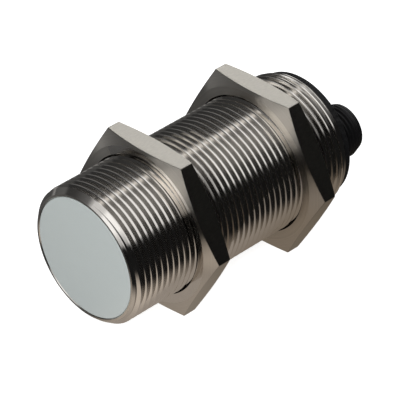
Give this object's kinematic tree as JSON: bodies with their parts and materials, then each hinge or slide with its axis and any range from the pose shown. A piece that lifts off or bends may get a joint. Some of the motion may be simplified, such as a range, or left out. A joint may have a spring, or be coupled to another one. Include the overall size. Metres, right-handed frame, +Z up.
{
  "type": "capacitive proximity switch",
  "caption": "Cylindrical sensor with a threaded metal barrel, flat plastic sensing face, hexagon lock nuts that travel along the thread, and a threaded plug at the rear.",
  "frame": {"origin": "centre of the sensing face", "axes": "+Y along the barrel towards the plug, +Z up through a flat of each nut"},
  "size_m": [0.0416, 0.072, 0.036],
  "materials": {
    "nickel_barrel": "bright nickel plate on brass",
    "nickel_nut": "satin nickel plate on brass",
    "face_plastic": "smooth pale grey moulding",
    "black_plastic": "satin black moulding",
    "seal_rubber": "moulded rubber",
    "copper": "bare copper sheet",
    "gold_contact": "gold plated",
    "holder_plastic": "natural moulding",
    "board_laminate": "green solder mask",
    "chip_epoxy": "black moulded epoxy",
    "tantalum_case": "yellow moulded epoxy",
    "capacitor_ceramic": "fired ceramic",
    "tinned_pin": "tinned",
    "trimmer_case": "blue moulding",
    "trimmer_brass": "bare turned brass",
    "lamp_resin": "tinted clear resin",
    "window_plastic": "frosted clear",
    "potting": "cast filled resin"
  },
  "bodies": {
    "sensor_body": {"threaded_barrel": "nickel_barrel", "sensing_cap": "face_plastic", "rear_end_cap": "black_plastic", "contact_carrier": "black_plastic", "front_seal_ring": "seal_rubber", "rear_seal_ring": "seal_rubber", "trimmer_seal_ring": "seal_rubber", "sensing_electrode": "copper", "guard_electrode": "copper", "shield_cup": "copper", "electrode_pin": "gold_contact", "electrode_holder": "holder_plastic", "circuit_board": "board_laminate", "connector_board": "board_laminate", "oscillator_chip": "chip_epoxy", "comparator_chip": "chip_epoxy", "output_transistor": "chip_epoxy", "suppressor_diode": "chip_epoxy", "chip_resistors": "chip_epoxy", "smoothing_capacitor": "tantalum_case", "ceramic_capacitors": "capacitor_ceramic", "header_pins": "tinned_pin", "trimmer_body": "trimmer_case", "indicator_lamp": "lamp_resin", "lamp_window": "window_plastic", "potting_resin": "potting", "contact_pin_1": "gold_contact", "contact_pin_2": "gold_contact", "contact_pin_3": "gold_contact", "contact_pin_4": "gold_contact"},
    "front_nut": {"front_lock_nut": "nickel_nut"},
    "rear_nut": {"rear_lock_nut": "nickel_nut"},
    "trimmer_rotor": {"trimmer_screw": "trimmer_brass"}
  },
  "joints": [
    {"name": "front_nut_travel", "type": "slide", "parent": "sensor_body", "child": "front_nut", "axis": [0, 1, 0], "range_m": [-0.0135, 0.012]},
    {"name": "rear_nut_travel", "type": "slide", "parent": "sensor_body", "child": "rear_nut", "axis": [0, 1, 0], "range_m": [-0.012, 0.0075]},
    {"name": "trimmer_turn", "type": "hinge", "parent": "sensor_body", "child": "trimmer_rotor", "pos_m": [-0.0053, 0.06, 0.0053], "axis": [0, 1, 0], "range_deg": [-135, 135]}
  ]
}
